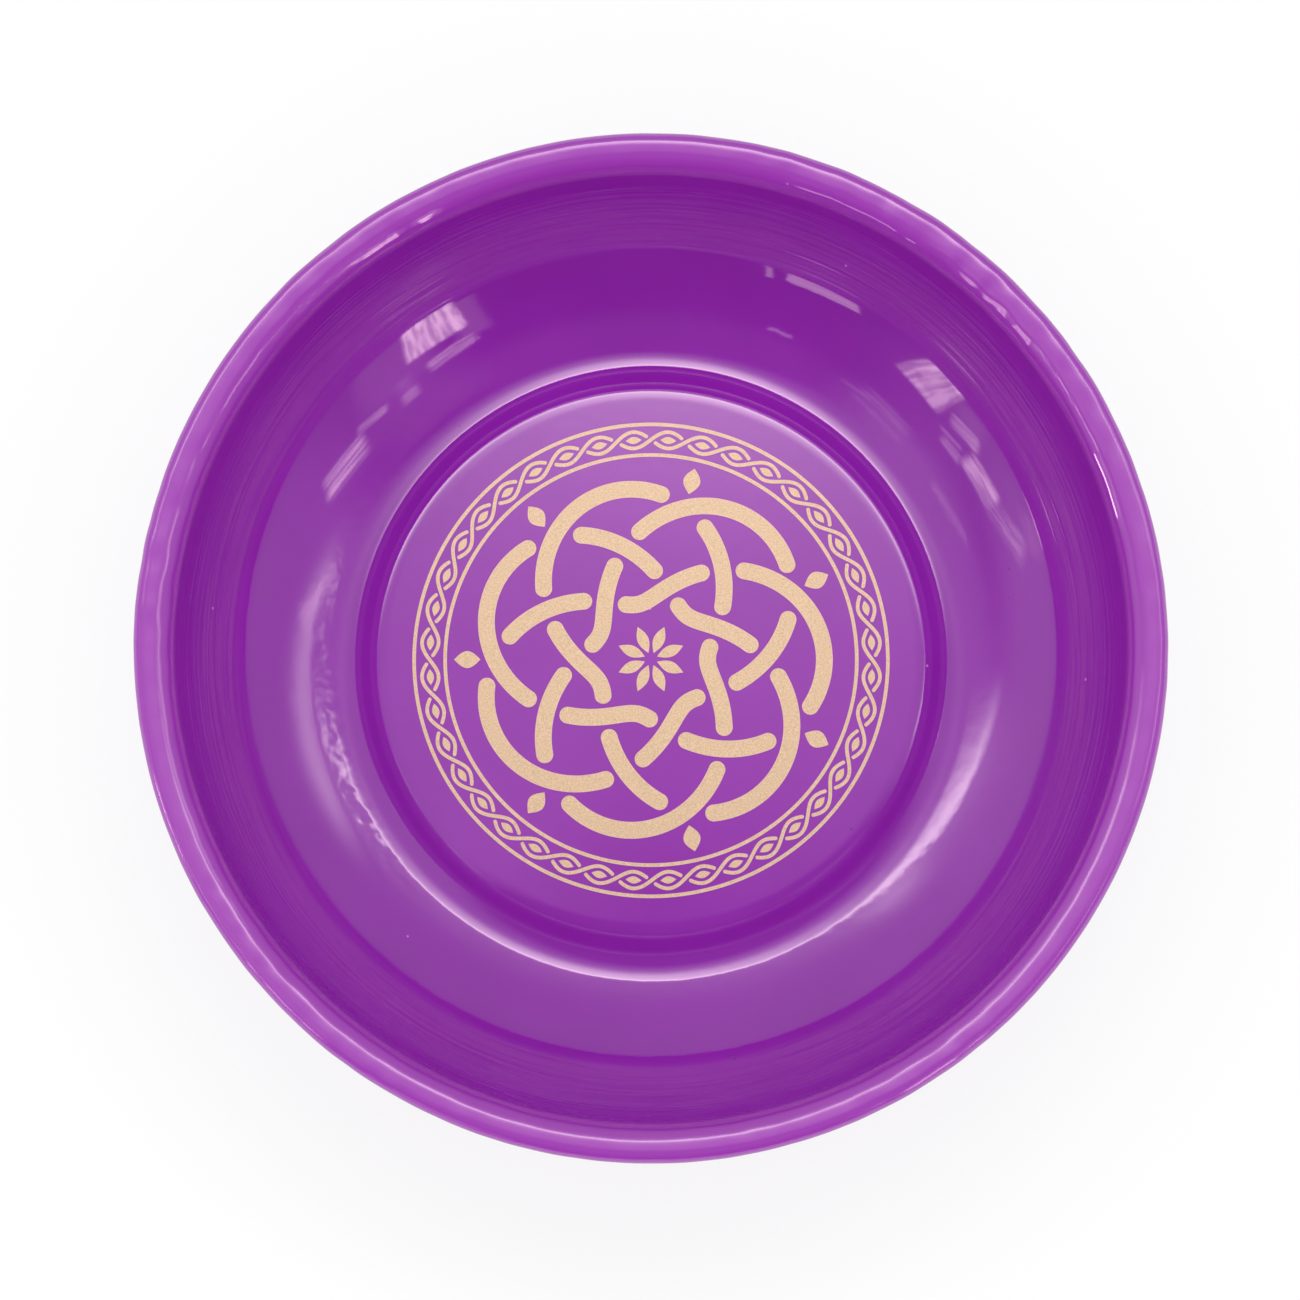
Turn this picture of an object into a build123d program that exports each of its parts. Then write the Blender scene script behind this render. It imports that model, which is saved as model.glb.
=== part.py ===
from build123d import *
from math import asin, atan2, cos, degrees, hypot, radians, sin, sqrt
import os

# Magnetic pin bowl: a drawn steel bowl with a rolled rim, and under its centre disc a bonded ring magnet
# on a steel plate inside a rubber cup. Millimetres, +Z up, origin on the table under the bowl's centre.

# Bowl, measured on its painted face
RIM_DIAMETER = 108.0
BOWL_DEPTH = 18.4  # from the top of the rim down to the edge of the centre disc
SHEET = 0.6
DISC_DIAMETER = 55.8
DISC_CROWN = 1.2  # how far the disc's centre stands above its edge
STEP_EDGE_RADIUS = 3.8
STEP_CORNER_RADIUS = 3.6
STEP_SLANT = 0.86  # straight run of the slope between the two rounds
STEP_SLOPE = 38.0  # degrees
LIP_RADIUS = 3.2
CURL_RADIUS = 1.38
CURL_TURN = 250.0  # degrees from the top of the rim to the sheet's cut edge

# Slopes of the wall, in degrees: at the low ring round the disc, and where it meets the lip
LOW_RING_SLOPE = 22.0
WALL_TOP_SLOPE = 81.0
# Where the two arcs of the wall meet, as a share of the slopes that would join them
WALL_BREAK_SHARE = 0.36

# Magnet and its base, from the disc down to the table
BOWL_ADHESIVE_THICKNESS = 0.4  # at its outer edge, under the domed disc
MAGNET_THICKNESS = 6.0
MAGNET_BORE_DIAMETER = 20.0
MAGNET_CHAMFER = 0.5
PLATE_THICKNESS = 1.0
PLATE_EDGE_CHAMFER = 0.3
COVER_ADHESIVE_THICKNESS = 0.2
ADHESIVE_INSET = 1.0  # the adhesives end short of the edges that they bond
COVER_FLOOR = 1.8
COVER_WALL = 2.2
COVER_EDGE_RADIUS = 1.4
COVER_DRAFT = 0.4  # how much further in the cup's side stands at the foot than at its mouth
RECESS_CLEARANCE = 0.3  # between the cup's side and the step's edge round
POCKET_CLEARANCE = 0.2  # between the cup's inside and the magnet

# Moulded rings in the foot: a shallow round hollow, then grooves at an even pitch
FOOT_HOLLOW_DIAMETER = 15.0
FOOT_HOLLOW_DEPTH = 0.6
GROOVE_WIDTH = 1.2
GROOVE_DEPTH = 0.6
GROOVE_PITCH = 5.5
GROOVE_COUNT = 3

# Worked out from the sizes above
DISC_RADIUS = DISC_DIAMETER / 2
DOME_RADIUS = (DISC_RADIUS**2 + DISC_CROWN**2) / (2 * DISC_CROWN)
DISC_EDGE_SLOPE = degrees(asin(DISC_RADIUS / DOME_RADIUS))
CROWN_RADIUS = RIM_DIAMETER / 2 - CURL_RADIUS
COVER_RADIUS = DISC_RADIUS - RECESS_CLEARANCE
POCKET_RADIUS = COVER_RADIUS - COVER_WALL
MAGNET_RADIUS = POCKET_RADIUS - POCKET_CLEARANCE
MAGNET_BORE_RADIUS = MAGNET_BORE_DIAMETER / 2
BOND_RADIUS = MAGNET_RADIUS - ADHESIVE_INSET
BOND_BORE_RADIUS = MAGNET_BORE_RADIUS + ADHESIVE_INSET
PLATE_TOP = COVER_FLOOR + COVER_ADHESIVE_THICKNESS + PLATE_THICKNESS
MAGNET_TOP = PLATE_TOP + MAGNET_THICKNESS


def underside_drop(radius):
    """How far the domed disc's underside lies below its own centre at a radius."""
    under_radius = DOME_RADIUS - SHEET
    return under_radius - sqrt(under_radius**2 - radius**2)


# Levels of the disc, set by the adhesive that holds it to the magnet
UNDERSIDE_CENTRE = MAGNET_TOP + BOWL_ADHESIVE_THICKNESS + underside_drop(BOND_RADIUS)
DISC_CENTRE_LEVEL = UNDERSIDE_CENTRE + SHEET
DISC_EDGE_LEVEL = DISC_CENTRE_LEVEL - DISC_CROWN
RIM_TOP_LEVEL = DISC_EDGE_LEVEL + BOWL_DEPTH


def low_ring():
    """Radius and level of the wall's start, at the outer end of the round at the foot of the step."""
    disc_edge = radians(DISC_EDGE_SLOPE)
    slope = radians(STEP_SLOPE)
    start = radians(LOW_RING_SLOPE)
    edge_run = STEP_EDGE_RADIUS * (sin(slope) - sin(disc_edge))
    edge_drop = STEP_EDGE_RADIUS * (cos(disc_edge) - cos(slope))
    corner_run = STEP_CORNER_RADIUS * (sin(slope) + sin(start))
    corner_drop = STEP_CORNER_RADIUS * (cos(start) - cos(slope))
    radius = DISC_RADIUS + edge_run + STEP_SLANT * cos(slope) + corner_run
    return radius, DISC_EDGE_LEVEL - edge_drop - STEP_SLANT * sin(slope) - corner_drop


def wall_arcs():
    """The two arcs that climb from the low ring to the lip: each one's radius and its turn in degrees."""
    start_radius, start_level = low_ring()
    top = radians(WALL_TOP_SLOPE)
    end_radius = CROWN_RADIUS - LIP_RADIUS * sin(top)
    end_level = RIM_TOP_LEVEL - LIP_RADIUS * (1 - cos(top))
    run = end_radius - start_radius
    rise = end_level - start_level
    chord_slope = degrees(atan2(rise, run))
    break_slope = 2 * chord_slope - WALL_TOP_SLOPE
    break_slope += WALL_BREAK_SHARE * (WALL_TOP_SLOPE - LOW_RING_SLOPE)
    # The sine rule gives each arc's chord from the chord of the whole wall
    low_chord_slope = (LOW_RING_SLOPE + break_slope) / 2
    high_chord_slope = (break_slope + WALL_TOP_SLOPE) / 2
    per_sine = hypot(run, rise) / sin(radians(high_chord_slope - low_chord_slope))
    low_chord = per_sine * sin(radians(high_chord_slope - chord_slope))
    high_chord = per_sine * sin(radians(chord_slope - low_chord_slope))
    low_turn = break_slope - LOW_RING_SLOPE
    high_turn = WALL_TOP_SLOPE - break_slope
    low_radius = low_chord / (2 * sin(radians(low_turn / 2)))
    high_radius = high_chord / (2 * sin(radians(high_turn / 2)))
    return (low_radius, low_turn), (high_radius, high_turn)


def sheet_face(below):
    """One face of the sheet in section, from the axis to its cut edge, `below` under the painted face."""
    (low_radius, low_turn), (high_radius, high_turn) = wall_arcs()
    disc = JernArc((0, DISC_CENTRE_LEVEL - below), (1, 0), DOME_RADIUS - below, -DISC_EDGE_SLOPE)
    edge = JernArc(disc @ 1, disc % 1, STEP_EDGE_RADIUS - below, DISC_EDGE_SLOPE - STEP_SLOPE)
    slant = Line(edge @ 1, edge @ 1 + STEP_SLANT * (edge % 1))
    corner = JernArc(slant @ 1, slant % 1, STEP_CORNER_RADIUS + below, STEP_SLOPE + LOW_RING_SLOPE)
    low_wall = JernArc(corner @ 1, corner % 1, low_radius + below, low_turn)
    high_wall = JernArc(low_wall @ 1, low_wall % 1, high_radius + below, high_turn)
    lip = JernArc(high_wall @ 1, high_wall % 1, LIP_RADIUS - below, -WALL_TOP_SLOPE)
    curl = JernArc(lip @ 1, lip % 1, CURL_RADIUS - below, -CURL_TURN)
    return [disc, edge, slant, corner, low_wall, high_wall, lip, curl]


def turned(section):
    """The solid that a half section, drawn with the radius along X and the height along Y, turns to."""
    return revolve(Plane.XZ * section, Axis.Z)


def make_bowl():
    """The drawn sheet with its stepped disc, its wall and its rolled rim, in one gauge all through."""
    painted = sheet_face(0)
    under = sheet_face(SHEET)
    cut_edge = Line(painted[-1] @ 1, under[-1] @ 1)
    centre = Line(under[0] @ 0, painted[0] @ 0)
    return turned(make_face(Curve() + painted + under + [cut_edge, centre]))


def ring(outer, inner, bottom, thickness):
    """A flat ring standing on `bottom`."""
    return Pos(0, 0, bottom) * extrude(Circle(outer) - Circle(inner), thickness)


def make_bowl_adhesive():
    """The adhesive ring that fills the space between the magnet's flat top and the domed disc."""
    middle_radius = (BOND_BORE_RADIUS + BOND_RADIUS) / 2
    radii = (BOND_BORE_RADIUS, middle_radius, BOND_RADIUS)
    inner, middle, outer = ((radius, UNDERSIDE_CENTRE - underside_drop(radius)) for radius in radii)
    domed = ThreePointArc(inner, middle, outer)
    rest = Polyline(outer, (BOND_RADIUS, MAGNET_TOP), (BOND_BORE_RADIUS, MAGNET_TOP), inner)
    return turned(make_face(Curve() + [domed, rest]))


def make_ring_magnet():
    """The pressed ferrite ring, with its four edges chamfered."""
    magnet = ring(MAGNET_RADIUS, MAGNET_BORE_RADIUS, PLATE_TOP, MAGNET_THICKNESS)
    return chamfer(magnet.edges().filter_by(GeomType.CIRCLE), MAGNET_CHAMFER)


def make_backing_plate():
    """The stamped steel disc, chamfered on the side that the punch entered."""
    bottom = COVER_FLOOR + COVER_ADHESIVE_THICKNESS
    plate = Pos(0, 0, bottom) * extrude(Circle(MAGNET_RADIUS), PLATE_THICKNESS)
    return chamfer(plate.edges().group_by(Axis.Z)[0], PLATE_EDGE_CHAMFER)


def make_cover_adhesive():
    """The adhesive film between the plate and the floor of the rubber cup."""
    film = extrude(Circle(BOND_RADIUS), COVER_ADHESIVE_THICKNESS)
    return Pos(0, 0, COVER_FLOOR) * film


def make_base_cover():
    """The rubber cup: a mouth that seats under the disc, a drafted side, and rings moulded in the foot."""
    foot_radius = COVER_RADIUS - COVER_DRAFT
    outline = Polyline(
        (0, 0),
        (foot_radius, 0),
        (COVER_RADIUS, UNDERSIDE_CENTRE - underside_drop(COVER_RADIUS)),
        (POCKET_RADIUS, UNDERSIDE_CENTRE - underside_drop(POCKET_RADIUS)),
        (POCKET_RADIUS, COVER_FLOOR),
        (0, COVER_FLOOR),
        close=True,
    )
    section = make_face(outline)
    foot_corner = section.vertices().sort_by_distance((foot_radius, 0))[0]
    section = fillet(foot_corner, COVER_EDGE_RADIUS)
    cover = turned(section)
    hollow_radius = FOOT_HOLLOW_DIAMETER / 2
    cover -= extrude(Circle(hollow_radius), FOOT_HOLLOW_DEPTH)
    for step in range(1, GROOVE_COUNT + 1):
        inner = hollow_radius + step * GROOVE_PITCH - GROOVE_WIDTH
        cover -= ring(inner + GROOVE_WIDTH, inner, 0, GROOVE_DEPTH)
    return cover


PIECES = {
    "bowl": make_bowl,
    "bowl_adhesive": make_bowl_adhesive,
    "ring_magnet": make_ring_magnet,
    "backing_plate": make_backing_plate,
    "cover_adhesive": make_cover_adhesive,
    "base_cover": make_base_cover,
}

os.makedirs("parts", exist_ok=True)
for name, make in PIECES.items():
    export_step(make(), f"parts/{name}.step")
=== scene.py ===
from bisect import bisect
from math import asin, atan, atan2, ceil, cos, degrees, hypot, pi, radians, sin, sqrt

import bpy
from mathutils import Matrix, Vector, noise


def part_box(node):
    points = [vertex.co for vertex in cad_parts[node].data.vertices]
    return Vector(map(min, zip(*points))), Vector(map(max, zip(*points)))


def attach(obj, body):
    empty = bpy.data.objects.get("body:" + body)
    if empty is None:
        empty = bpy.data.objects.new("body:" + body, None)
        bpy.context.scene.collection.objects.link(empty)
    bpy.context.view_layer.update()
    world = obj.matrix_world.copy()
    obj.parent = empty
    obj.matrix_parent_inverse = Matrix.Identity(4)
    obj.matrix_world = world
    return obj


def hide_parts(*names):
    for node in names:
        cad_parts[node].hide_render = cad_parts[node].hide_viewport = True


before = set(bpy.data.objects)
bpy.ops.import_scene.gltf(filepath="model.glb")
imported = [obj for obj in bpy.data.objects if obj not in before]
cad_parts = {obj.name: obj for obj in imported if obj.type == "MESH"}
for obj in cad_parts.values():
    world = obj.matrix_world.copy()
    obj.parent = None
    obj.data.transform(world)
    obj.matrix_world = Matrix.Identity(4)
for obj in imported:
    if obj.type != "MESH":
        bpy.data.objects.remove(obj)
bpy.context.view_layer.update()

# Sizes that the bowl in model.glb gives
RIM_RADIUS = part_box("bowl")[1].x
CROWN_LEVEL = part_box("bowl")[1].z

# Section of the bowl, on its painted face, in metres and degrees
BOWL_DEPTH = 0.0184
SHEET = 0.0006
DISC_RADIUS = 0.0279
DISC_CROWN = 0.0012
STEP_EDGE_RADIUS = 0.0038
STEP_CORNER_RADIUS = 0.0036
STEP_SLANT = 0.00086
STEP_SLOPE = 38.0
LOW_RING_SLOPE = 22.0
WALL_TOP_SLOPE = 81.0
WALL_BREAK_SHARE = 0.36  # where the wall's two arcs meet, between the slopes that would join them
LIP_RADIUS = 0.0032
CURL_RADIUS = 0.00138
CURL_TURN = 250.0

# The lip's tight bend between two slopes, and the flatter top of the rim beyond it
BEND_RADIUS = 0.0010
BEND_START_SLOPE = 20.5
BEND_END_SLOPE = 5.0
TOP_RADIUS = 0.0080

# Worked out from the sizes above
CROWN_RADIUS = RIM_RADIUS - CURL_RADIUS
DOME_RADIUS = (DISC_RADIUS ** 2 + DISC_CROWN ** 2) / (2 * DISC_CROWN)
DISC_EDGE_SLOPE = degrees(asin(DISC_RADIUS / DOME_RADIUS))
DISC_EDGE_LEVEL = CROWN_LEVEL - BOWL_DEPTH
DISC_CENTRE_LEVEL = DISC_EDGE_LEVEL + DISC_CROWN

# How finely curved things are divided
TURN_SEGMENTS = 720
SECTION_STEP = 0.00022
SECTION_TURN = 4.0

# Small unevenness that rolling leaves in the rim, and how it comes and goes round the bowl
RIM_WAVE_HEIGHT = 0.00010
RIM_WAVE_LENGTH = 0.0026
RIM_WAVE_REACH = 0.0026
RIM_WAVE_PATCH = 0.030
RIM_WAVE_SHARE = 0.6
RIM_WAVE_SPREAD = 1.4
RIM_WAVE_LEAST = 0.25

# Zones of the paint: the radii over which each one starts, and over which it ends
LOW_RING_ZONE = ((0.0328, 0.0340), (0.0350, 0.0364))
DRAWN_ZONE = ((0.0430, 0.0455), (0.0485, 0.0500))
BRUSHED_INNER_SOUTH = 0.0419
BRUSHED_INNER_NORTH = 0.0430
BRUSHED_FADE = 0.0014
BRUSHED_END = (0.0480, 0.0492)
# Radii over which the rim's painted sheen starts: a paler purple that stands in for the extra light the rim
# catches
PAINTED_RIM_SHEEN_START = (0.0490, 0.0512)
DULL_RIM_START = (0.0504, 0.0518)

# Marks in the paint: how wide they are, and how deep
RING_WIDTH = 0.00042
RING_DEPTH = 0.0001
DENT_WIDTH = 0.0016
DENT_DEPTH = 0.00007
PEEL_WIDTH = 0.0022
PEEL_DEPTH = 0.000005
FINE_PEEL_WIDTH = 0.0005
FINE_PEEL_DEPTH = 0.0000008
PEEL_PATCH = 0.016
SPECK_SPACING = 0.0042
SPECK_EDGE = (0.028, 0.040)  # as a share of the spacing
SPECK_STRENGTH = 0.6

# Roughness of the paint, and what the rim and the brushed wall add to it
GLOSS = 0.045
RIM_DULLNESS = 0.12
BRUSHED_DULLNESS = 0.11

# Printed design
INK_HEIGHT = 0.00002
INK_SINK = 0.00001
INK_EDGE = 0.00011
INK_CORE_LEAST = 0.35  # of half the width, where a strip is too thin for its edges
STROKE_WIDTH = 0.00178
STROKE_GAP = 0.00048
THIN_LINE = 0.00038
THIN_GAP = 0.00019
KNOT_MIDDLE_RADIUS = 0.0122
KNOT_SWING = 0.0062
KNOT_TURNS = 4
KNOT_BIGHTS = 7
BORDER_RADIUS = 0.0235
BORDER_HALF_WIDTH = 0.00165
TWIST_SWING = 0.00088
TWIST_WAVES = 20
BEAD_LENGTH = 0.0017
BEAD_WIDTH = 0.00075
PETAL_COUNT = 8
PETAL_INNER = 0.0007
PETAL_OUTER = 0.0037
PETAL_WIDTH = 0.0012
DROP_INNER = 0.0181
DROP_OUTER = 0.0209
DROP_WIDTH = 0.0018

# How finely the ink is divided, and how near its round ends and tips come to their last point
STRIP_POINTS = 6  # round a strip's section: four on top and two sunk in the paint
CAP_STEPS = 8
CAP_REACH = 0.998
LEAF_STEPS = 24
LEAF_TIP = 0.002
STRAND_STEPS = 160
END_GAP = 0.00001  # a strand's own points keep this far from its trimmed ends
THIN_RING_STEPS = 360

# The floor, and how much of it shows as plain white
FLOOR_RADIUS = 2.5
FLOOR_STEPS = 96
WHITE_SHARE = 0.8

# The camera, from the photograph
PHOTO_SIZE = 1300
RIM_CENTRE_PIXEL = (651.0, 648.5)
RIM_RADIUS_PIXELS = 517.25
VIEW_DISTANCE = 0.980
VIEW_TILT = radians(5.0)
SENSOR_WIDTH = 36.0

# The even light of the room: each row maps the range of its first two numbers to that of its last two.
# The ceiling is dark south of an edge by v, which lies further south in the west and in the east.
CEILING = (-13.0, 6.0, 0.18, 0.68)
CEILING_WEST = (-30.0, 0.0, 30.0, 0.0)
CEILING_EAST = (0.0, 40.0, 0.0, 12.0)
# The walls by how far north and east a direction points, and by its degrees from the zenith
WALLS_NORTH = (-0.95, -0.15, 0.07, 0.62)
WALLS_FAR_NORTH = (0.5, 0.95, 1.0, 0.9)
WALLS_EAST = (-1.0, 1.0, 1.1, 0.85)
WALLS_LOW = (74.0, 90.0, 1.0, 0.55)
WALLS_START = (44.0, 54.0)

# Lights on a map of the sky, in degrees from the zenith, with east along u and north along v.
# Each has a centre and radii, and a glow has its strength last.
SOFTBOX_OVAL = ((-4.0, -6.0), (51.0, 47.0))
SOFTBOX_START = (6.0, 26.0)
SOFTBOX_STRENGTH = 5.0
SOFTBOX_FADE = 0.115
HALO_FADE = 0.12
HALO_SHARE = 0.22
SOFTBOX_LOBE = ((3.0, 29.0), (13.0, 10.0), 3.1)
SOFTBOX_CORNER = ((-34.5, 38.5), (4.5, 3.5), 1.1)
DARK_CORNER = ((-52.0, -12.0), (5.0, 14.0), 0.5)
OVERHEAD_FILL = ((0.0, -30.0), (28.0, 24.0), 0.6)
THIN_LIGHT_OVAL = ((38.0, 12.0), (15.0, 19.0))
THIN_LIGHT_START = (40.0, 50.0)
THIN_LIGHT_WIDTH = 0.22
THIN_LIGHT_STRENGTH = 1.6

# Folds of the curtains, in degrees on the sky map
FOLD_WIDTH = 1.15
FOLD_LENGTH = 16.0

# The curtains' faint rose
PANE_TINT = (1.2, 1.0, 1.08)

# Windows: centre on the sky map, width, length, turn, strength, blur and folds
PANES = (
    ((-56.2, -47.9), 11.0, 21.0, 58.0, 1.9, 0.7, 0.45),
    ((-56.6, -51.4), 2.6, 14.0, 57.0, 0.9, 0.7),
    ((-65.0, -49.3), 2.4, 6.5, 57.0, 1.3, 0.7),
    ((-49.0, -43.0), 2.0, 4.5, -35.0, 0.7, 0.7),
    ((-62.5, -39.5), 8.0, 9.0, 50.0, 0.25, 2.5),
    ((-57.6, -35.0), 4.4, 7.5, -52.0, 1.3, 0.9, 0.5),
    ((-52.0, -32.3), 1.2, 5.5, -48.0, 0.9, 0.5),
    ((-50.4, -29.6), 3.0, 4.8, -40.0, 1.0, 0.7, 0.4),
    ((-57.5, -25.0), 6.5, 9.0, -30.0, 1.9, 1.2, 0.5),
    ((-62.5, -17.0), 5.5, 13.0, -50.0, 0.7, 1.6, 0.7),
    ((-74.0, -17.0), 9.0, 8.0, 0.0, 0.3, 2.5, 0.5),
    ((-34.5, -31.5), 7.5, 9.0, -40.0, 0.32, 1.6, 0.7),
    ((-30.5, -35.0), 1.4, 5.0, -60.0, 0.4, 0.7),
    ((-42.5, -15.5), 2.6, 10.0, -35.0, 0.55, 0.9, 0.4),
    ((-20.5, -46.9), 1.3, 3.8, -65.0, 1.1, 0.4),
    ((-36.0, -69.5), 7.0, 16.5, 112.0, 1.7, 0.5, 0.12),
    ((-24.5, -73.5), 1.5, 9.0, 15.0, 1.4, 0.4),
    ((-81.0, -21.5), 5.5, 12.0, -15.0, 9.0, 0.8, 0.3),
    ((43.8, -58.8), 12.5, 19.0, -33.0, 3.1, 0.8, 0.45),
    ((35.0, -59.0), 6.0, 20.0, -30.0, 0.45, 1.3),
    ((33.8, -46.8), 4.0, 9.5, 52.0, 1.3, 0.8, 0.5),
    ((39.0, -37.4), 3.2, 3.8, -40.0, 1.0, 0.8),
    ((41.5, -40.5), 3.0, 6.5, -45.0, 0.35, 1.4),
    ((50.3, -26.0), 7.0, 10.5, 45.0, 1.8, 1.3, 0.6),
    ((47.4, -34.9), 2.4, 7.0, 62.0, 1.2, 0.7, 0.5),
    ((50.0, -49.0), 17.0, 22.0, -38.0, 0.14, 2.5),
    ((42.0, -42.0), 16.0, 42.0, -45.0, 0.17, 5.0),
    ((48.5, -3.5), 5.0, 14.0, 62.0, 0.6, 1.5, 0.5),
)


class Term:
    """The output of a shader node, with arithmetic that adds math nodes to the same tree."""

    def __init__(self, tree, socket):
        self.tree = tree
        self.socket = socket

    def math(self, operation, *others):
        node = self.tree.nodes.new("ShaderNodeMath")
        node.operation = operation
        for value, socket in zip((self, *others), node.inputs):
            feed(self.tree, value, socket)
        return Term(self.tree, node.outputs[0])

    def __add__(self, other):
        return self.math("ADD", other)

    def __sub__(self, other):
        return self.math("SUBTRACT", other)

    def __mul__(self, other):
        return self.math("MULTIPLY", other)

    def __truediv__(self, other):
        return self.math("DIVIDE", other)

    def within(self, start, end):
        """1 in a zone that starts over one range of values and ends over another, and 0 outside it."""
        return self.between(*start) * self.between(*end, 1.0, 0.0)

    def between(self, low, high, to_low=0.0, to_high=1.0, smooth=True):
        """Mapped from the range low..high to to_low..to_high, and held past its ends."""
        node = self.tree.nodes.new("ShaderNodeMapRange")
        node.interpolation_type = "SMOOTHSTEP" if smooth else "LINEAR"
        for name, value in zip(("Value", "From Min", "From Max", "To Min", "To Max"),
                               (self, low, high, to_low, to_high)):
            feed(self.tree, value, node.inputs[name])
        return Term(self.tree, node.outputs["Result"])


def feed(tree, value, socket):
    """Puts a number, a colour or another node's output into a socket."""
    if isinstance(value, Term):
        tree.links.new(value.socket, socket)
    else:
        socket.default_value = value


def add_node(tree, kind, output=0, settings=None, **inputs):
    """A new node with its settings and inputs given by name, as a Term of one of its outputs."""
    node = tree.nodes.new(kind)
    for name, value in (settings or {}).items():
        setattr(node, name, value)
    for name, value in inputs.items():
        feed(tree, value, node.inputs[name.replace("_", " ")])
    return Term(tree, node.outputs[output])


def mix(tree, share, first, second):
    """One colour at share 0 and another at share 1."""
    node = tree.nodes.new("ShaderNodeMix")
    node.data_type = "RGBA"
    feed(tree, share, node.inputs[0])
    feed(tree, first, node.inputs[6])
    feed(tree, second, node.inputs[7])
    return Term(tree, node.outputs[2])


def join(tree, *parts):
    """Three numbers joined to a vector."""
    node = tree.nodes.new("ShaderNodeCombineXYZ")
    for part, socket in zip(parts, node.inputs):
        feed(tree, part, socket)
    return Term(tree, node.outputs[0])


def split(tree, vector):
    """The three parts of a vector."""
    node = tree.nodes.new("ShaderNodeSeparateXYZ")
    feed(tree, vector, node.inputs[0])
    return [Term(tree, output) for output in node.outputs]


def vector_math(tree, operation, *parts):
    """Arithmetic on vectors."""
    node = tree.nodes.new("ShaderNodeVectorMath")
    node.operation = operation
    for part, socket in zip(parts, node.inputs):
        feed(tree, part, socket)
    return Term(tree, node.outputs[0])


def place(tree):
    """The point of the surface in metres, the same from every view."""
    return add_node(tree, "ShaderNodeTexCoord", "Object")


def grain(tree, size, detail=2.0, rough=0.5, where=None):
    """Noise from 0 to 1 whose grains are about `size` metres across."""
    return add_node(tree, "ShaderNodeTexNoise", "Fac", Vector=where or place(tree), Scale=1 / size,
                    Detail=detail, Roughness=rough)


def bump(tree, height, depth, under=None):
    """A normal raised by `height` (0 to 1) over `depth` metres."""
    node = tree.nodes.new("ShaderNodeBump")
    node.inputs["Strength"].default_value = 1.0
    node.inputs["Distance"].default_value = depth
    feed(tree, height, node.inputs["Height"])
    if under is not None:
        feed(tree, under, node.inputs["Normal"])
    return Term(tree, node.outputs["Normal"])


def make_material(name, build, **constants):
    """A material whose Principled shader has constant sockets set, and the rest linked by `build`."""
    material = bpy.data.materials.new(name)
    material.use_nodes = True
    tree = material.node_tree
    shader = tree.nodes["Principled BSDF"]
    for socket, value in constants.items():
        shader.inputs[socket.replace("_", " ")].default_value = value
    for socket, value in build(tree).items():
        feed(tree, value, shader.inputs[socket.replace("_", " ")])
    return material


def color(red, green, blue):
    return (red, green, blue, 1.0)


# Materials

def specked(tree, point, paint):
    """The paint's colour with a few small specks in it, some paler than it is and some darker."""
    cell = tree.nodes.new("ShaderNodeTexVoronoi")
    feed(tree, point, cell.inputs["Vector"])
    cell.inputs["Scale"].default_value = 1 / SPECK_SPACING
    speck = Term(tree, cell.outputs["Distance"]).between(*SPECK_EDGE, 1.0, 0.0) * SPECK_STRENGTH
    kind = add_node(tree, "ShaderNodeSeparateColor", "Red", Color=Term(tree, cell.outputs["Color"]))
    pale = speck * kind.between(0.8, 0.81)
    dark = speck * kind.between(0.2, 0.21, 1.0, 0.0)
    paint = mix(tree, pale, paint, color(0.72, 0.36, 0.66))
    return mix(tree, dark, paint, color(0.06, 0.008, 0.09))


def paint_relief(tree, x, y, radius, rings):
    """The paint's normal: drawing rings in the wall, dents in the low ring and orange peel."""
    normal = bump(tree, rings * radius.within(*DRAWN_ZONE), RING_DEPTH)
    south_west = x.between(-0.031, -0.024, 0.6, 0.0) * y.between(0.0, 0.01, 1.0, 0.2)
    dented = radius.within(*LOW_RING_ZONE) * (south_west + 0.2)
    normal = bump(tree, grain(tree, DENT_WIDTH, detail=1.0) * dented, DENT_DEPTH, under=normal)
    patchy = grain(tree, PEEL_PATCH, detail=0.0).between(0.42, 0.70, 0.5, 2.2)
    normal = bump(tree, grain(tree, PEEL_WIDTH, detail=1.0) * patchy, PEEL_DEPTH, under=normal)
    return bump(tree, grain(tree, FINE_PEEL_WIDTH, detail=1.0) * patchy, FINE_PEEL_DEPTH, under=normal)


def paint_nodes(tree):
    """Glossy purple enamel with faint clouds, hazier up the brushed wall, duller on the rim, and paler there as
    a painted sheen for the extra light the rim catches.
    """
    point = place(tree)
    x, y, _ = split(tree, point)
    radius = (x * x + y * y).math("SQRT")
    shade = grain(tree, 0.012, detail=3.0).between(0.35, 0.65, smooth=False)
    purple = mix(tree, shade, color(0.240, 0.0110, 0.350), color(0.256, 0.0130, 0.372))
    # Painted sheen: the rim is mixed to a paler purple that stands in for the extra light and haze it catches
    purple = mix(tree, radius.between(*PAINTED_RIM_SHEEN_START), purple, color(0.310, 0.034, 0.410))
    around = vector_math(tree, "MULTIPLY", point, (0.02, 0.02, 1.0))
    rings = grain(tree, RING_WIDTH, detail=1.0, where=around)
    inner = y.between(-0.012, 0.008, BRUSHED_INNER_SOUTH, BRUSHED_INNER_NORTH)
    brushed = (radius - inner).between(0.0, BRUSHED_FADE) * radius.between(*BRUSHED_END, 1.0, 0.0)
    return {
        "Base_Color": specked(tree, point, purple),
        "Normal": paint_relief(tree, x, y, radius, rings),
        "Roughness": radius.between(*DULL_RIM_START) * RIM_DULLNESS + brushed * BRUSHED_DULLNESS + GLOSS,
        "Coat_Weight": brushed * rings.between(0.3, 0.7, 0.0, 0.3, smooth=False),
    }


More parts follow.
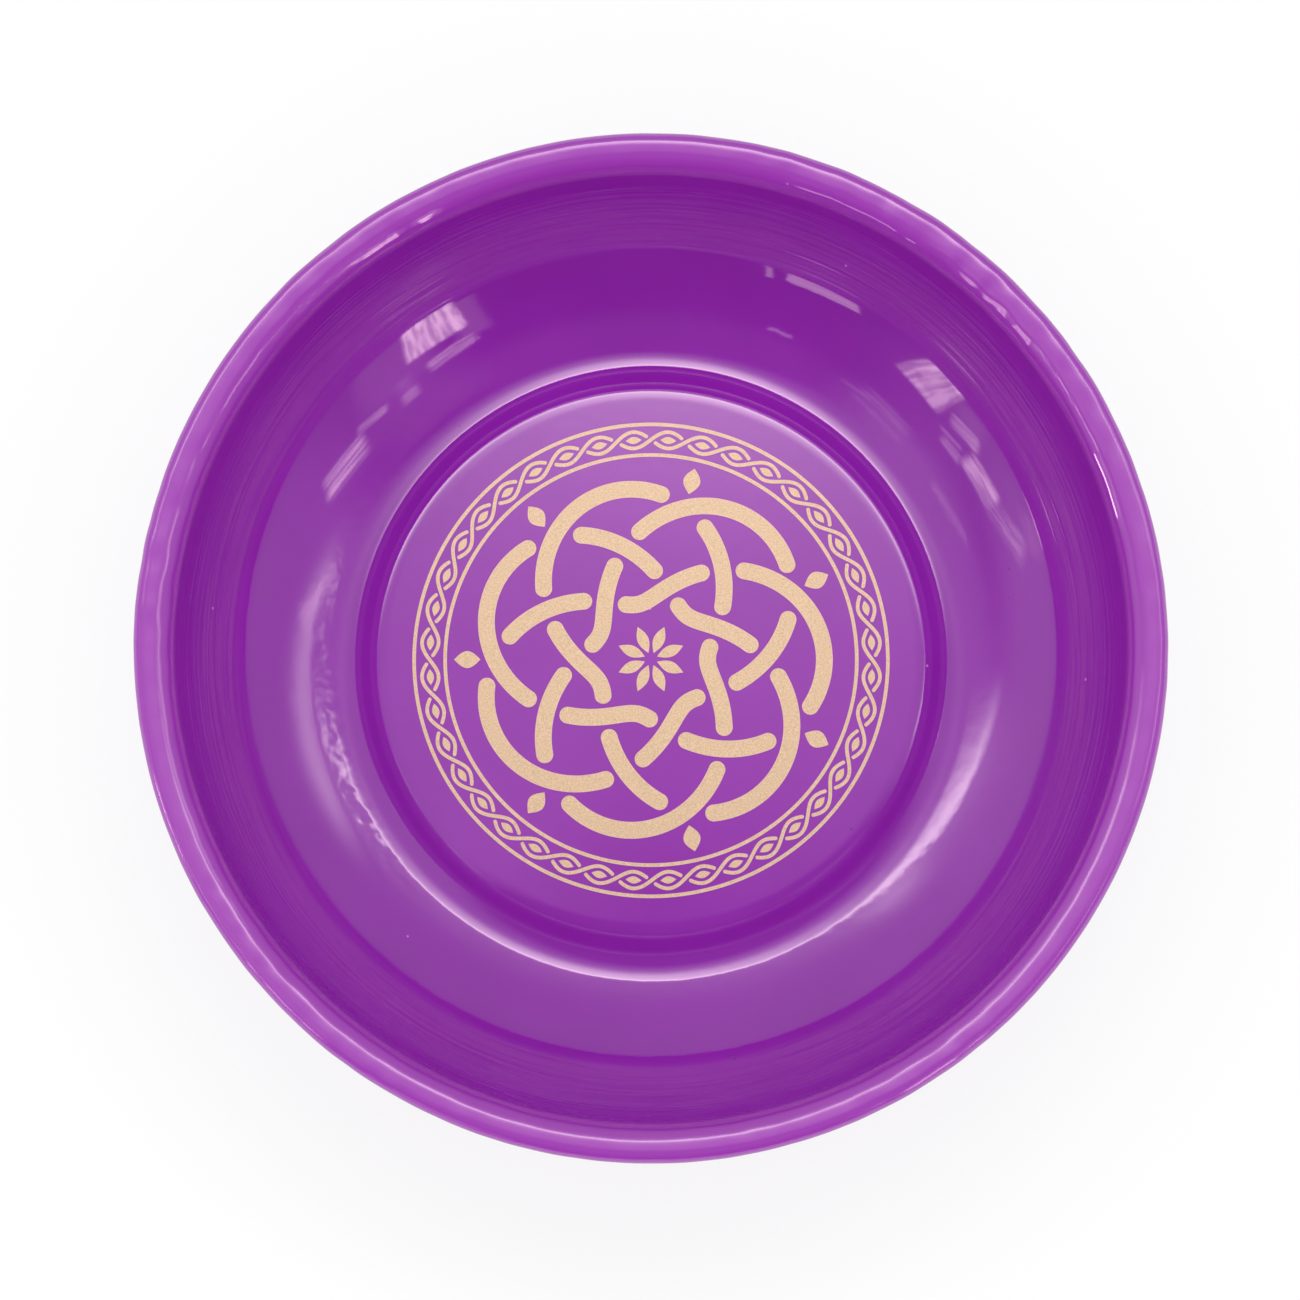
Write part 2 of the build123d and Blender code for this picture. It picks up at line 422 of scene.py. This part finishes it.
def ink_nodes(tree):
    """Pale gold ink: fine grain, thinner and pinker at its edges."""
    edge = add_node(tree, "ShaderNodeAttribute", "Fac", settings={"attribute_name": "edge"})
    flakes = grain(tree, 0.00016, detail=2.0, rough=0.7)
    fine = flakes.between(0.3, 0.7, smooth=False)
    gold = mix(tree, fine, color(0.57, 0.394, 0.228), color(0.855, 0.615, 0.417))
    ink = mix(tree, edge.between(0.1, 0.9, 0.0, 0.9), gold, color(0.80, 0.53, 0.45))
    return {
        "Base_Color": ink,
        "Roughness": flakes.between(0.3, 0.7, 0.38, 0.55),
        "Normal": bump(tree, flakes, 0.00001),
    }


def rubber_nodes(tree):
    """Moulded black rubber with a fine satin grain and a little dust."""
    dust = grain(tree, 0.004, detail=6.0, rough=0.7).between(0.55, 0.8)
    black = mix(tree, dust, color(0.012, 0.012, 0.013), color(0.045, 0.043, 0.045))
    return {
        "Base_Color": black,
        "Roughness": dust.between(0.0, 1.0, 0.52, 0.75),
        "Normal": bump(tree, grain(tree, 0.0003, detail=3.0), 0.00003),
    }


def adhesive_nodes(tree):
    """Cured adhesive, milky with small bubbles."""
    cloud = grain(tree, 0.003, detail=3.0)
    return {
        "Base_Color": mix(tree, cloud, color(0.60, 0.57, 0.48), color(0.72, 0.70, 0.64)),
        "Normal": bump(tree, grain(tree, 0.0008, detail=2.0), 0.00004),
    }


def ferrite_nodes(tree):
    """Ground ferrite, dark grey with pressed grain."""
    speck = grain(tree, 0.0004, detail=4.0, rough=0.7)
    return {
        "Base_Color": mix(tree, speck, color(0.020, 0.020, 0.022), color(0.050, 0.050, 0.054)),
        "Roughness": speck.between(0.3, 0.7, 0.45, 0.7),
        "Normal": bump(tree, speck, 0.00002),
    }


def plated_nodes(tree):
    """Zinc-plated steel with faint clouds and fine scratches."""
    cloud = grain(tree, 0.006, detail=5.0, rough=0.6)
    return {
        "Base_Color": mix(tree, cloud, color(0.50, 0.51, 0.52), color(0.66, 0.66, 0.66)),
        "Roughness": cloud.between(0.3, 0.7, 0.28, 0.45),
        "Normal": bump(tree, grain(tree, 0.0002, detail=2.0), 0.000004),
    }


PAINT = make_material("purple_enamel", paint_nodes, IOR=1.57, Specular_IOR_Level=1.0,
                      Specular_Tint=color(1.0, 0.82, 0.85), Coat_Roughness=0.5, Coat_IOR=1.5)
INK = make_material("gold_ink", ink_nodes, Metallic=0.25)
RUBBER = make_material("black_rubber", rubber_nodes)
ADHESIVE = make_material("milky_adhesive", adhesive_nodes, Roughness=0.4)
FERRITE = make_material("grey_ferrite", ferrite_nodes)
PLATED = make_material("plated_steel", plated_nodes, Metallic=1.0)


# Meshes

def make_piece(name, vertices, faces, material, sharp=60.0):
    """A smooth-shaded mesh object with one material."""
    mesh = bpy.data.meshes.new(name)
    mesh.from_pydata(vertices, [], faces)
    mesh.validate()
    mesh.shade_smooth()
    mesh.set_sharp_from_angle(angle=radians(sharp))
    mesh.materials.append(material)
    piece = bpy.data.objects.new(name, mesh)
    bpy.context.scene.collection.objects.link(piece)
    return piece


class Section:
    """A half section drawn from a start point and slope with straight runs and tangent arcs."""

    def __init__(self, radius, level, slope):
        self.points = [(radius, level)]
        self.heading = radians(slope)

    def run(self, length):
        r, z = self.points[-1]
        steps = max(1, ceil(length / SECTION_STEP))
        for step in range(1, steps + 1):
            reach = length * step / steps
            self.points.append((r + reach * cos(self.heading), z + reach * sin(self.heading)))

    def arc(self, radius, turn):
        """An arc that turns up for a positive turn in degrees and down for a negative one."""
        side = 1 if turn > 0 else -1
        r, z = self.points[-1]
        centre_r = r - side * radius * sin(self.heading)
        centre_z = z + side * radius * cos(self.heading)
        steps = max(ceil(abs(turn) / SECTION_TURN), ceil(radius * radians(abs(turn)) / SECTION_STEP))
        start = self.heading
        for step in range(1, steps + 1):
            self.heading = start + radians(turn) * step / steps
            self.points.append((centre_r + side * radius * sin(self.heading),
                                centre_z - side * radius * cos(self.heading)))


def draw_step(face, below):
    """The step down from the disc's edge to the start of the wall, `below` under the painted face."""
    face.arc(STEP_EDGE_RADIUS - below, DISC_EDGE_SLOPE - STEP_SLOPE)
    face.run(STEP_SLANT)
    face.arc(STEP_CORNER_RADIUS + below, STEP_SLOPE + LOW_RING_SLOPE)


def draw_lip(face, below):
    """The lip from the wall's top to the rim's crown: a wide bend, a tight one, and the rim's flatter top."""
    face.arc(LIP_RADIUS - below, BEND_START_SLOPE - WALL_TOP_SLOPE)
    face.arc(BEND_RADIUS - below, BEND_END_SLOPE - BEND_START_SLOPE)
    face.arc(TOP_RADIUS - below, -BEND_END_SLOPE)


def wall_arcs():
    """The two arcs that climb from the low ring to the lip: each one's radius and its turn in degrees."""
    step = Section(DISC_RADIUS, DISC_EDGE_LEVEL, -DISC_EDGE_SLOPE)
    draw_step(step, 0.0)
    start_radius, start_level = step.points[-1]
    lip = Section(0.0, 0.0, WALL_TOP_SLOPE)
    draw_lip(lip, 0.0)
    lip_run, lip_rise = lip.points[-1]
    run = CROWN_RADIUS - lip_run - start_radius
    rise = CROWN_LEVEL - lip_rise - start_level
    chord_slope = degrees(atan2(rise, run))
    break_slope = 2 * chord_slope - WALL_TOP_SLOPE
    break_slope += WALL_BREAK_SHARE * (WALL_TOP_SLOPE - LOW_RING_SLOPE)
    # The sine rule gives each arc's chord from the chord of the whole wall
    low_chord_slope = (LOW_RING_SLOPE + break_slope) / 2
    high_chord_slope = (break_slope + WALL_TOP_SLOPE) / 2
    per_sine = hypot(run, rise) / sin(radians(high_chord_slope - low_chord_slope))
    low_turn = break_slope - LOW_RING_SLOPE
    high_turn = WALL_TOP_SLOPE - break_slope
    low_chord = per_sine * sin(radians(high_chord_slope - chord_slope))
    high_chord = per_sine * sin(radians(chord_slope - low_chord_slope))
    low_radius = low_chord / (2 * sin(radians(low_turn / 2)))
    high_radius = high_chord / (2 * sin(radians(high_turn / 2)))
    return (low_radius, low_turn), (high_radius, high_turn)


def sheet_face(below):
    """One face of the sheet, from the axis to its cut edge, `below` under the painted face."""
    (low_radius, low_turn), (high_radius, high_turn) = wall_arcs()
    face = Section(0.0, DISC_CENTRE_LEVEL - below, 0.0)
    face.arc(DOME_RADIUS - below, -DISC_EDGE_SLOPE)
    draw_step(face, below)
    face.arc(low_radius + below, low_turn)
    face.arc(high_radius + below, high_turn)
    draw_lip(face, below)
    face.arc(CURL_RADIUS - below, -CURL_TURN)
    return face.points


def rim_wave(point):
    """How far the rolled rim stands proud of a true ring at a point, along its surface's normal."""
    near = (CROWN_LEVEL - point.z) / RIM_WAVE_REACH
    if near >= 1 or hypot(point.x, point.y) < CROWN_RADIUS - 2 * LIP_RADIUS:
        return 0.0
    patch = max(RIM_WAVE_LEAST, RIM_WAVE_SHARE + RIM_WAVE_SPREAD * noise.noise(point / RIM_WAVE_PATCH))
    return (1 - near * near) * patch * RIM_WAVE_HEIGHT * noise.noise(point / RIM_WAVE_LENGTH)


def make_bowl():
    """The drawn sheet turned about the axis, with its rim's slight waves."""
    section = sheet_face(0.0) + sheet_face(SHEET)[::-1]
    rings = section[1:-1]
    vertices = [(0.0, 0.0, section[0][1]), (0.0, 0.0, section[-1][1])]
    for r, z in rings:
        for step in range(TURN_SEGMENTS):
            angle = 2 * pi * step / TURN_SEGMENTS
            vertices.append((r * cos(angle), r * sin(angle), z))
    faces = []
    last = 2 + (len(rings) - 1) * TURN_SEGMENTS
    for step in range(TURN_SEGMENTS):
        after = (step + 1) % TURN_SEGMENTS
        faces.append((0, 2 + step, 2 + after))
        faces.append((1, last + after, last + step))
        for ring in range(len(rings) - 1):
            here = 2 + ring * TURN_SEGMENTS
            beyond = here + TURN_SEGMENTS
            faces.append((here + step, beyond + step, beyond + after, here + after))
    bowl = make_piece("painted_bowl", vertices, faces, PAINT)
    moves = [rim_wave(vertex.co) for vertex in bowl.data.vertices]
    normals = [vertex.normal.copy() for vertex in bowl.data.vertices]
    for vertex, normal, move in zip(bowl.data.vertices, normals, moves):
        vertex.co += normal * move
    return bowl


# Printed design: flat strips of ink on the disc

class Print:
    """Strips of ink gathered into one mesh, with an `edge` value that is 1 along their outlines."""

    def __init__(self):
        self.vertices = []
        self.faces = []
        self.edge = []

    def add_point(self, x, y, height, edge):
        """A point over the domed disc by a height, with its share of the outline's colour."""
        surface = DISC_CENTRE_LEVEL - DOME_RADIUS + sqrt(DOME_RADIUS ** 2 - x * x - y * y)
        self.vertices.append((x, y, surface + height))
        self.edge.append(edge)

    def strip(self, path, widths, closed=False):
        """A band along a path of (x, y) points, with a width for each point."""
        first = len(self.vertices)
        count = len(path)
        for here, (x, y) in enumerate(path):
            before = path[here - 1] if here or closed else path[0]
            after = path[(here + 1) % count] if here + 1 < count or closed else path[-1]
            run = Vector((after[0] - before[0], after[1] - before[1])).normalized()
            half = widths[here] / 2
            inset = max(half - INK_EDGE, half * INK_CORE_LEAST)
            for across, edge in ((half, 1.0), (inset, 0.0), (-inset, 0.0), (-half, 1.0)):
                self.add_point(x - run.y * across, y + run.x * across, INK_HEIGHT, edge)
            for across in (-half, half):
                self.add_point(x - run.y * across, y + run.x * across, -INK_SINK, 1.0)
        rows = range(count) if closed else range(count - 1)
        for row in rows:
            here = first + STRIP_POINTS * row
            beyond = first + STRIP_POINTS * ((row + 1) % count)
            for a in range(STRIP_POINTS):
                b = (a + 1) % STRIP_POINTS
                self.faces.append((here + a, here + b, beyond + b, beyond + a))
        if not closed:
            last = first + STRIP_POINTS * (count - 1)
            self.faces.append(tuple(first + a for a in reversed(range(STRIP_POINTS))))
            self.faces.append(tuple(last + a for a in range(STRIP_POINTS)))

    def stroke(self, path, width):
        """A band of even width with round ends, whose centres are the path's ends."""
        start = (Vector(path[0]) - Vector(path[1])).normalized()
        end = (Vector(path[-1]) - Vector(path[-2])).normalized()
        reaches = [sin(0.5 * pi * step / CAP_STEPS) * CAP_REACH for step in range(1, CAP_STEPS + 1)]
        full = [Vector(path[0]) + start * reach * width / 2 for reach in reversed(reaches)]
        full += [Vector(point) for point in path]
        full += [Vector(path[-1]) + end * reach * width / 2 for reach in reaches]
        narrow = [width * sqrt(1 - reach * reach) for reach in reaches]
        self.strip([tuple(p) for p in full], narrow[::-1] + [width] * len(path) + narrow)

    def leaf(self, start, end, width):
        """A filled pointed oval from start to end."""
        start, end = Vector(start), Vector(end)
        path, widths = [], []
        for step in range(LEAF_STEPS + 1):
            share = LEAF_TIP + (1 - 2 * LEAF_TIP) * step / LEAF_STEPS
            path.append(tuple(start.lerp(end, share)))
            widths.append(width * sin(pi * share))
        self.strip(path, widths)

    def piece(self, name):
        made = make_piece(name, self.vertices, self.faces, INK, sharp=40.0)
        attribute = made.data.attributes.new("edge", "FLOAT", "POINT")
        attribute.data.foreach_set("value", self.edge)
        return made


def polar(radius, angle):
    return (radius * cos(angle), radius * sin(angle))


def trimmed(curve, start, end, start_trim, end_trim):
    """Points of curve(parameter) from start to end, less a length at each end."""
    steps = STRAND_STEPS
    points = [Vector(curve(start + (end - start) * step / steps)) for step in range(steps + 1)]
    lengths = [0.0]
    for a, b in zip(points, points[1:]):
        lengths.append(lengths[-1] + (b - a).length)
    low, high = start_trim, lengths[-1] - end_trim

    def at(length):
        k = min(max(bisect(lengths, length) - 1, 0), steps - 1)
        share = (length - lengths[k]) / (lengths[k + 1] - lengths[k])
        return tuple(points[k].lerp(points[k + 1], share))

    inner = [tuple(p) for p, l in zip(points, lengths) if low + END_GAP < l < high - END_GAP]
    return [at(low)] + inner + [at(high)]


def make_knot():
    """A woven ring knot of one closed strand, with a rosette at its centre and drops round it."""
    design = Print()
    rate = KNOT_BIGHTS / KNOT_TURNS

    def strand(a):
        return polar(KNOT_MIDDLE_RADIUS + KNOT_SWING * cos(rate * a), a)

    whole = 2 * pi * KNOT_TURNS
    crossings = sorted(
        (pi * (n * KNOT_TURNS / KNOT_BIGHTS - m)) % whole
        for m in range(1, KNOT_TURNS)
        for n in range(2 * KNOT_BIGHTS)
    )
    unders = crossings[1::2]

    def trim(a):
        radius = hypot(*strand(a))
        lean = atan(abs(KNOT_SWING * rate * sin(rate * a)) / radius)
        return (STROKE_WIDTH + STROKE_GAP) / sin(2 * lean)

    for here, under in enumerate(unders):
        after = unders[(here + 1) % len(unders)]
        end = after if after > under else after + whole
        design.stroke(trimmed(strand, under, end, trim(under), trim(end)), STROKE_WIDTH)
    for petal in range(PETAL_COUNT):
        angle = 2 * pi * (petal + 0.5) / PETAL_COUNT
        design.leaf(polar(PETAL_INNER, angle), polar(PETAL_OUTER, angle), PETAL_WIDTH)
    for gap in range(KNOT_BIGHTS):
        angle = 2 * pi * (gap + 0.5) / KNOT_BIGHTS
        design.leaf(polar(DROP_INNER, angle), polar(DROP_OUTER, angle), DROP_WIDTH)
    return design.piece("print_knot")


def make_border():
    """Two thin rings with a two-strand twist between them and a bead in each eye."""
    design = Print()
    for radius in (BORDER_RADIUS - BORDER_HALF_WIDTH, BORDER_RADIUS + BORDER_HALF_WIDTH):
        ring = [polar(radius, 2 * pi * step / THIN_RING_STEPS) for step in range(THIN_RING_STEPS)]
        design.strip(ring, [THIN_LINE] * THIN_RING_STEPS, closed=True)
    crossing_lean = atan(TWIST_SWING * TWIST_WAVES / BORDER_RADIUS)
    trim = (THIN_LINE + THIN_GAP) / sin(2 * crossing_lean)
    eye = pi / TWIST_WAVES
    for crossing in range(2 * TWIST_WAVES):
        side = 1 if crossing % 2 else -1

        def strand(a, side=side):
            return polar(BORDER_RADIUS + side * TWIST_SWING * sin(TWIST_WAVES * a), a)

        start = (crossing - 1) * eye
        design.stroke(trimmed(strand, start, start + 2 * eye, trim, trim), THIN_LINE)
        middle = (crossing + 0.5) * eye
        reach = BEAD_LENGTH / 2 / BORDER_RADIUS
        bead = polar(BORDER_RADIUS, middle - reach), polar(BORDER_RADIUS, middle + reach)
        design.leaf(*bead, BEAD_WIDTH)
    return design.piece("print_border")


# Floor, light and camera

def whiten(material):
    """Lets the camera, and what mirrors or is clear, see most of a surface as white, under a fainter shadow."""
    tree = material.node_tree
    path = tree.nodes.new("ShaderNodeLightPath")
    seen = Term(tree, path.outputs["Is Camera Ray"]) + Term(tree, path.outputs["Is Glossy Ray"])
    seen = seen + Term(tree, path.outputs["Is Transmission Ray"])
    white = tree.nodes.new("ShaderNodeEmission")
    choose = tree.nodes.new("ShaderNodeMixShader")
    feed(tree, seen * WHITE_SHARE, choose.inputs[0])
    tree.links.new(tree.nodes["Principled BSDF"].outputs[0], choose.inputs[1])
    tree.links.new(white.outputs[0], choose.inputs[2])
    tree.links.new(choose.outputs[0], tree.nodes["Material Output"].inputs["Surface"])


def make_floor():
    """A pale disc of floor under the object."""
    edge = [(*polar(FLOOR_RADIUS, 2 * pi * step / FLOOR_STEPS), 0.0) for step in range(FLOOR_STEPS)]
    mesh = bpy.data.meshes.new("floor")
    mesh.from_pydata(edge, [], [tuple(range(FLOOR_STEPS))])
    floor = bpy.data.objects.new("floor", mesh)
    bpy.context.scene.collection.objects.link(floor)

    def nodes(tree):
        shade = grain(tree, 0.3)
        return {"Base_Color": mix(tree, shade, color(0.88, 0.88, 0.88), color(0.90, 0.90, 0.90))}

    material = make_material("white_floor", nodes, Roughness=0.9)
    mesh.materials.append(material)
    whiten(material)


class Sky:
    """The light by direction, drawn on the map of the sky."""

    def __init__(self, tree):
        self.tree = tree
        self.east, self.north, self.up = split(tree, add_node(tree, "ShaderNodeTexCoord", "Generated"))
        level = (self.east * self.east + self.north * self.north).math("SQRT").math("MAXIMUM", 1e-6)
        self.from_zenith = self.up.math("ARCCOSINE") * degrees(1.0)
        self.east, self.north = self.east / level, self.north / level
        self.u = self.east * self.from_zenith
        self.v = self.north * self.from_zenith
        self.map = join(tree, self.u, self.v)

    def oval(self, centre, radii):
        """How many radii a direction lies from the centre of an oval."""
        across = (self.u - centre[0]) / radii[0]
        along = (self.v - centre[1]) / radii[1]
        return (across * across + along * along).math("SQRT")

    def glow(self, centre, radii, strength):
        """A soft round light that falls off as a bell curve does."""
        away = self.oval(centre, radii)
        return (away * away * -0.5).math("EXPONENT") * strength

    def pane(self, centre, width, length, turn, strength, blur, folds=0.0):
        """A soft-edged window, its long side turned clockwise from north, with a net curtain's folds."""
        local = add_node(self.tree, "ShaderNodeMapping", settings={"vector_type": "TEXTURE"}, Vector=self.map,
                         Location=(*centre, 0.0), Rotation=(0.0, 0.0, -radians(turn)),
                         Scale=(width / 2, length / 2, 1.0))
        soft = (2 * blur / width, 2 * blur / length)
        away = vector_math(self.tree, "ABSOLUTE", local)
        node = self.tree.nodes.new("ShaderNodeMapRange")
        node.data_type = "FLOAT_VECTOR"
        node.interpolation_type = "SMOOTHSTEP"
        feed(self.tree, away, node.inputs["Vector"])
        # The vector inputs for From Min, From Max, To Min and To Max
        node.inputs[7].default_value = (1.0 - soft[0], 1.0 - soft[1], 0.0)
        node.inputs[8].default_value = (1.0 + soft[0], 1.0 + soft[1], 1.0)
        node.inputs[9].default_value = (1.0, 1.0, 1.0)
        node.inputs[10].default_value = (0.0, 0.0, 0.0)
        across, along, _ = split(self.tree, Term(self.tree, node.outputs["Vector"]))
        inside = across * along
        if folds:
            stretch = (width / 2 / FOLD_WIDTH, length / 2 / FOLD_LENGTH, 1.0)
            where = vector_math(self.tree, "MULTIPLY_ADD", local, stretch, (*centre, 0.0))
            fold = add_node(self.tree, "ShaderNodeTexNoise", "Fac", settings={"noise_dimensions": "2D"},
                            Vector=where, Scale=1.0, Detail=2.0)
            inside = inside * fold.between(0.36, 0.64, 1.0 - folds, 1.0 + folds)
        return inside * strength


def room_light(sky):
    """The even light of the room: brighter to the north and in the west, and dark to the south."""
    west = sky.u.between(*CEILING_WEST, smooth=False)
    east = sky.u.between(*CEILING_EAST, smooth=False)
    ceiling = (sky.v + west + east).between(*CEILING)
    walls = sky.north.between(*WALLS_NORTH) * sky.north.between(*WALLS_FAR_NORTH)
    walls = walls * sky.east.between(*WALLS_EAST) * sky.from_zenith.between(*WALLS_LOW)
    low = sky.from_zenith.between(*WALLS_START)
    room = ceiling + low * (walls - ceiling)
    return room - room * sky.glow(*DARK_CORNER)


def overhead_light(sky):
    """The softbox over the bowl's north side: a crisp curved edge and a glow that fades towards the zenith."""
    ring = sky.oval(*SOFTBOX_OVAL)
    inner = ((ring - 1.0).math("MINIMUM", 0.0) / SOFTBOX_FADE).math("EXPONENT")
    halo = ((ring * -1.0 + 1.0).math("MINIMUM", 0.0) / HALO_FADE).math("EXPONENT") * HALO_SHARE
    within = ring.between(1.0, 1.07, 1.0, 0.0)
    band = inner * within + halo * (within * -1.0 + 1.0)
    lobe = sky.glow(*SOFTBOX_LOBE) * within
    corner = sky.glow(*SOFTBOX_CORNER)
    return band * sky.v.between(*SOFTBOX_START) * SOFTBOX_STRENGTH + lobe + corner


def fill_light(sky):
    """A broad weak light from the south and from overhead that gives no reflection."""
    return sky.north.between(-1.0, 1.0, 0.5, 0.0, smooth=False) + sky.glow(*OVERHEAD_FILL)


def side_light(sky):
    """The thin curved light to the east."""
    away = (sky.oval(*THIN_LIGHT_OVAL) - 1.0) / THIN_LIGHT_WIDTH
    return (away * away * -0.5).math("EXPONENT") * sky.u.between(*THIN_LIGHT_START) * THIN_LIGHT_STRENGTH


def light_studio():
    """A world of soft light all round, which the camera itself sees as white."""
    world = bpy.data.worlds.new("studio")
    bpy.context.scene.world = world
    world.use_nodes = True
    tree = world.node_tree
    tree.nodes.clear()
    sky = Sky(tree)
    light = room_light(sky) + overhead_light(sky) + side_light(sky)
    panes = sky.pane(*PANES[0])
    for pane in PANES[1:]:
        panes = panes + sky.pane(*pane)
    path = tree.nodes.new("ShaderNodeLightPath")
    seen = Term(tree, path.outputs["Is Camera Ray"])
    diffuse = Term(tree, path.outputs["Is Diffuse Ray"])
    # Diffuse rays meet an evener sky than the gloss mirrors: half of the north, and the fill light
    light = light - light * diffuse * sky.north.between(-0.3, 0.5, 0.0, 0.5)
    light = light + fill_light(sky) * diffuse
    light = vector_math(tree, "MULTIPLY_ADD", join(tree, panes, panes, panes), PANE_TINT,
                        join(tree, light, light, light))
    shade = tree.nodes.new("ShaderNodeBackground")
    feed(tree, light, shade.inputs["Color"])
    feed(tree, sky.up.between(-0.01, 0.0), shade.inputs["Strength"])
    white = tree.nodes.new("ShaderNodeBackground")
    choose = tree.nodes.new("ShaderNodeMixShader")
    white.inputs["Color"].default_value = color(1.0, 1.0, 1.0)
    feed(tree, seen, choose.inputs[0])
    tree.links.new(shade.outputs[0], choose.inputs[1])
    tree.links.new(white.outputs[0], choose.inputs[2])
    out = tree.nodes.new("ShaderNodeOutputWorld")
    tree.links.new(choose.outputs[0], out.inputs["Surface"])


def make_camera():
    """Looks down on the rim's widest ring as the photograph does."""
    pixel = RIM_RADIUS / RIM_RADIUS_PIXELS
    drop = RIM_RADIUS ** 2 * sin(VIEW_TILT) / VIEW_DISTANCE / pixel
    ring = Vector((0.0, 0.0, CROWN_LEVEL - CURL_RADIUS))
    back = Vector((0.0, -sin(VIEW_TILT), cos(VIEW_TILT)))
    up = Vector((0.0, cos(VIEW_TILT), sin(VIEW_TILT)))
    right = Vector((1.0, 0.0, 0.0))
    off_right = (RIM_CENTRE_PIXEL[0] - PHOTO_SIZE / 2) * pixel
    off_up = (PHOTO_SIZE / 2 - RIM_CENTRE_PIXEL[1] + drop) * pixel
    data = bpy.data.cameras.new("camera")
    data.sensor_width = SENSOR_WIDTH
    data.lens = SENSOR_WIDTH * VIEW_DISTANCE / (PHOTO_SIZE * pixel)
    data.clip_start, data.clip_end = 0.01, 20.0
    camera = bpy.data.objects.new("camera", data)
    bpy.context.scene.collection.objects.link(camera)
    where = ring + back * VIEW_DISTANCE - right * off_right - up * off_up
    camera.matrix_world = Matrix((
        (right.x, up.x, back.x, where.x),
        (right.y, up.y, back.y, where.y),
        (right.z, up.z, back.z, where.z),
        (0.0, 0.0, 0.0, 1.0),
    ))
    bpy.context.scene.camera = camera


bpy.context.scene.view_settings.view_transform = "Standard"
make_camera()
light_studio()
make_floor()

bowl = make_bowl()
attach(bowl, "root")
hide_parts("bowl")
for printed in (make_knot(), make_border()):
    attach(printed, "root")

for node, material in (
    ("bowl_adhesive", ADHESIVE),
    ("ring_magnet", FERRITE),
    ("backing_plate", PLATED),
    ("cover_adhesive", ADHESIVE),
    ("base_cover", RUBBER),
    ("bowl", PAINT),
):
    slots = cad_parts[node].data.materials
    slots.clear()
    slots.append(material)
